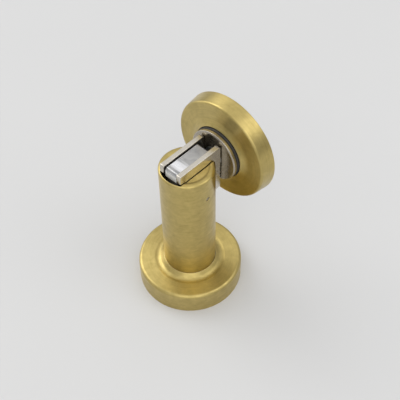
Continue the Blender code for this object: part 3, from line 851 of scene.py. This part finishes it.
# %% Cross pin
pin_half = (pin_high.y - pin_low.y) / 2
dome = 0.15 * MM
pin = lathe("cross_pin", [
    (0.3 * pin_radius, pin_half),
    (0.75 * pin_radius, pin_half - 0.3 * dome),
    (pin_radius, pin_half - 2 * dome),
    (pin_radius, -pin_half + 2 * dome),
    (0.75 * pin_radius, -pin_half + 0.3 * dome),
    (0.3 * pin_radius, -pin_half),
], filled=True, points=48)
pin.rotation_euler = (-quarter_turn, 0, 0)
pin.location = (0, 0, pin_height)
bpy.ops.object.transform_apply(location=True, rotation=True)
finish_piece(pin, spring_wire, "floor_unit", ["head_pin"])

# %% [markdown]
# ## The pole plates
#
# Two stamped steel plates carry the magnet's pull to the disc. Above the post they are plain
# rectangles with rounded corners. From just above its rim down, their front edge leans back, so
# that the head can rock without touching the tube. A plate is a box, sliced at the heights where
# the front edge changes, with the front points then pushed back.

# %% One pole plate
plate_shoulder = post_top + 0.7 * MM
inside_rim = post_top - 0.65 * MM
lean_foot = inside_rim - 4.3 * MM
rim_setback, foot_setback = 1.1 * MM, 1.75 * MM
rear_corner, front_corner, heel_corner = 1.3 * MM, 0.6 * MM, 2.5 * MM
edge_round = 0.2 * MM


def pole_plate(name, node):
    """A plate that fills the box of its node, with its front edge set back below the rim."""
    low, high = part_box(node)
    plate = block(name, low, high)
    bpy.ops.object.mode_set(mode="EDIT")
    for cut_height in (plate_shoulder, inside_rim, lean_foot):
        bpy.ops.mesh.select_all(action="SELECT")
        bpy.ops.mesh.bisect(plane_co=(0, 0, cut_height), plane_no=(0, 0, 1))

    def at_front(p):
        return near(p.x, low.x)

    def across_plate(a, b):
        return near(a.x, b.x) and near(a.z, b.z)

    pick_points(plate, lambda p: at_front(p) and p.z < lean_foot + 0.1 * MM)
    bpy.ops.transform.translate(value=(foot_setback, 0, 0))
    pick_points(plate, lambda p: at_front(p) and near(p.z, inside_rim))
    bpy.ops.transform.translate(value=(rim_setback, 0, 0))
    pick_edges(plate, lambda a, b: across_plate(a, b) and near(a.z, high.z) and a.x > 0)
    bpy.ops.mesh.bevel(offset=rear_corner, segments=6, affect="EDGES")
    pick_edges(plate, lambda a, b: across_plate(a, b) and near(a.z, high.z) and a.x < 0)
    bpy.ops.mesh.bevel(offset=front_corner, segments=5, affect="EDGES")
    pick_edges(plate, lambda a, b: across_plate(a, b) and near(a.z, low.z) and a.x < 0)
    bpy.ops.mesh.bevel(offset=heel_corner, segments=6, affect="EDGES")
    bpy.ops.object.mode_set(mode="OBJECT")
    soften(plate, edge_round)
    return plate


# %% Both pole plates
for side in ("left", "right"):
    plate = pole_plate(f"pole_{side}", f"pole_plate_{side}")
    finish_piece(plate, nickel, "head", [f"pole_plate_{side}"])

# %% [markdown]
# ## The magnet
#
# The magnet is a ground and plated block with a wide chamfer above and below at both ends. The
# ends get their own, duller finish, because they were sawn and not ground. It is a loose fit
# between the plates and leans against the right one, which leaves a dark gap on its left.

# %% Magnet
against_plate = Vector((0, -0.25 * MM, 0))
magnet_chamfer = 1.1 * MM
magnet_edge = 0.2 * MM
end_facing = 0.98     # a face whose normal has more of X than this is an end
magnet = block("magnet", magnet_low + against_plate, magnet_high + against_plate)
bpy.ops.object.mode_set(mode="EDIT")
pick_edges(magnet, lambda a, b: near(a.x, b.x) and near(a.z, b.z))
bpy.ops.mesh.bevel(offset=magnet_chamfer, segments=1, affect="EDGES")
bpy.ops.object.mode_set(mode="OBJECT")
soften(magnet, magnet_edge, segments=1, angle=30)
finish_piece(magnet, magnet_skin, "head", ["head_magnet"], smooth=10)
magnet.data.materials.append(magnet_end)
for face in magnet.data.polygons:
    face.material_index = int(abs(face.normal.x) > end_facing)

# %% [markdown]
# ## The keeper disc
#
# The disc is turned from steel, with a bevel round its front face that catches the light as a
# thin line. Its bolt is countersunk, so the front face has a cone in the middle.

# %% Keeper disc
front, back = disc_low.x, disc_high.x
shank_hole = 2.8 * MM
sink_radius, sink_depth = 4.9 * MM, 1.4 * MM
bevel_width, bevel_depth = 0.55 * MM, 0.35 * MM
bevel_round, back_round = 0.1 * MM, 0.25 * MM
disc = lathe("disc", [
    (sink_radius, front),
    (disc_radius - bevel_width, front),
    (disc_radius, front + bevel_depth),
    (disc_radius, back),
    (shank_hole, back),
    (shank_hole, front + sink_depth),
], rounded=[(1, bevel_round), (2, bevel_round), (3, back_round)], closed=True)
lay_on_door_axis(disc)
finish_piece(disc, nickel_disc, "keeper", ["keeper_disc"])

# %% [markdown]
# ## The keeper's bolt
#
# The bolt has a hexagon socket, and its free end shows behind the nut, so that end gets a
# thread. A thread this fine reads as rings, so it is turned as rings and not wound as a helix.

# %% Keeper bolt
bolt_head = (bolt_high.z - bolt_low.z) / 2
bolt_shank = 2.5 * MM
head_edge = 0.15 * MM
pitch = 0.8 * MM
thread_rings = 7
thread_depth = 0.4 * MM
thread_start = bolt_high.x - thread_rings * pitch
thread = []
for turn in range(thread_rings):
    thread.append((bolt_shank, thread_start + turn * pitch))
    thread.append((bolt_shank - thread_depth, thread_start + (turn + 0.5) * pitch))
bolt = lathe("disc_bolt", [
    (bolt_head - head_edge, bolt_low.x),
    (bolt_head, bolt_low.x + head_edge),
    (bolt_shank, bolt_low.x + sink_depth),
    *thread,
    (bolt_shank - thread_depth, bolt_high.x),
], filled=True, points=72)
socket_width = 3.5 * MM
socket_drill = 3.2 * MM     # half of it stands outside the head
cut_out(bolt, drill(socket_width / 2, socket_drill, (0, 0, bolt_low.x), points=6))
lay_on_door_axis(bolt)
finish_piece(bolt, zinc_on_door, "keeper", ["keeper_bolt"], smooth=30)

# %% [markdown]
# ## The buffer ring
#
# Behind the disc sits a black ring that fills the mouth of the cup. It carries the disc, has a
# pocket for the spring behind, and a rounded front edge.

# %% Buffer ring
front, back = buffer_low.x, buffer_high.x
pocket_depth = 2.5 * MM
pocket_out, pocket_in = 6.52 * MM, 4.68 * MM
front_round, rear_round = 0.6 * MM, 0.4 * MM
buffer_ring = lathe("buffer_ring", [
    (shank_hole, front),
    (buffer_radius, front),
    (buffer_radius, back),
    (pocket_out, back),
    (pocket_out, back - pocket_depth),
    (pocket_in, back - pocket_depth),
    (pocket_in, back),
    (shank_hole, back),
], rounded=[(1, front_round), (2, rear_round)], closed=True)
lay_on_door_axis(buffer_ring)
finish_piece(buffer_ring, rubber, "keeper", ["keeper_holder"])

# %% [markdown]
# ## The keeper's spring
#
# A short compression spring sits in the ring's pocket and leans on the door plate. Its wire is a
# small circle that a Screw modifier carries round the axis and along it.

# %% Keeper spring
spring_low, spring_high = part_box("keeper_spring")
spring_length = spring_high.x - spring_low.x
wire_radius = 0.32 * MM
coil_radius = (spring_high.z - spring_low.z) / 2 - wire_radius
coil_turns = 2
deselect()
bpy.ops.mesh.primitive_circle_add(
    vertices=14, radius=wire_radius, rotation=(quarter_turn, 0, 0),
    location=(coil_radius, 0, spring_low.x + wire_radius))
spring = bpy.context.object
spring.name = "spring"
bpy.ops.object.transform_apply(location=True, rotation=True)
winding = spring.modifiers.new("winding", "SCREW")
winding.angle = math.radians(coil_turns * 360)
winding.screw_offset = spring_length - 2 * wire_radius
winding.steps = winding.render_steps = 96
apply_modifier(spring, winding)
bpy.ops.object.mode_set(mode="EDIT")
bpy.ops.mesh.select_all(action="SELECT")
bpy.ops.mesh.fill_holes(sides=0)
bpy.ops.mesh.normals_make_consistent(inside=False)
bpy.ops.object.mode_set(mode="OBJECT")
lay_on_door_axis(spring)
finish_piece(spring, spring_wire, "door_unit", ["keeper_spring"])
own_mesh(spring)

# %% [markdown]
# ## The cup on the door
#
# The cup is drawn from the same sheet as the flange. Its mouth is ringed by a low cone too, but
# that one runs out into the flat face so softly that no edge can be seen. Its wall widens a
# little towards the door.

# %% Cup
cup_sheet = 0.8 * MM
cup_taper = 0.9 * MM
mouth_drill = 10 * MM
cup_face = 19.5 * MM
mouth_gap = 0.3 * MM
mouth_radius = buffer_radius + mouth_gap
mouth_rise = 1.2 * MM
mouth_slope = math.tan(math.radians(30))
cone_foot = mouth_radius + mouth_rise / mouth_slope
inside_mouth = mouth_radius - 0.6 * MM     # bored away below
wall_end = cup_high.x - 0.1 * MM
cone_round, face_round = 2.0 * MM, 1.0 * MM
cup = lathe("cup", [
    (inside_mouth, cup_face - (cone_foot - inside_mouth) * mouth_slope),
    (cone_foot, cup_face),
    (cup_radius - cup_taper, cup_face),
    (cup_radius, wall_end),
], rounded=[(1, cone_round), (2, face_round)], wall=cup_sheet)
cut_out(cup, drill(mouth_radius, mouth_drill, (0, 0, cup_face)))
lay_on_door_axis(cup)
finish_piece(cup, brass_on_door, "door_unit", ["door_cover"])

# %% [markdown]
# ## What stays as the frame made it
#
# The remaining nodes have the right shape already. They only need their finishes, which are put
# into their material slots.

# %% Finishes of the frame's own pieces
kept = {
    "base_plate": zinc, "base_stud": zinc, "post_plug": zinc,
    "pin_spacer_left": zinc, "pin_spacer_right": zinc,
    "head_rivet_front": zinc, "head_rivet_rear": zinc, "head_carrier": nylon,
    "keeper_nut": zinc_on_door, "door_plate": zinc_on_door,
}
for name, material in kept.items():
    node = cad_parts[name]
    node.data.materials.clear()
    node.data.materials.append(material)
print("kept nodes:", len(kept))
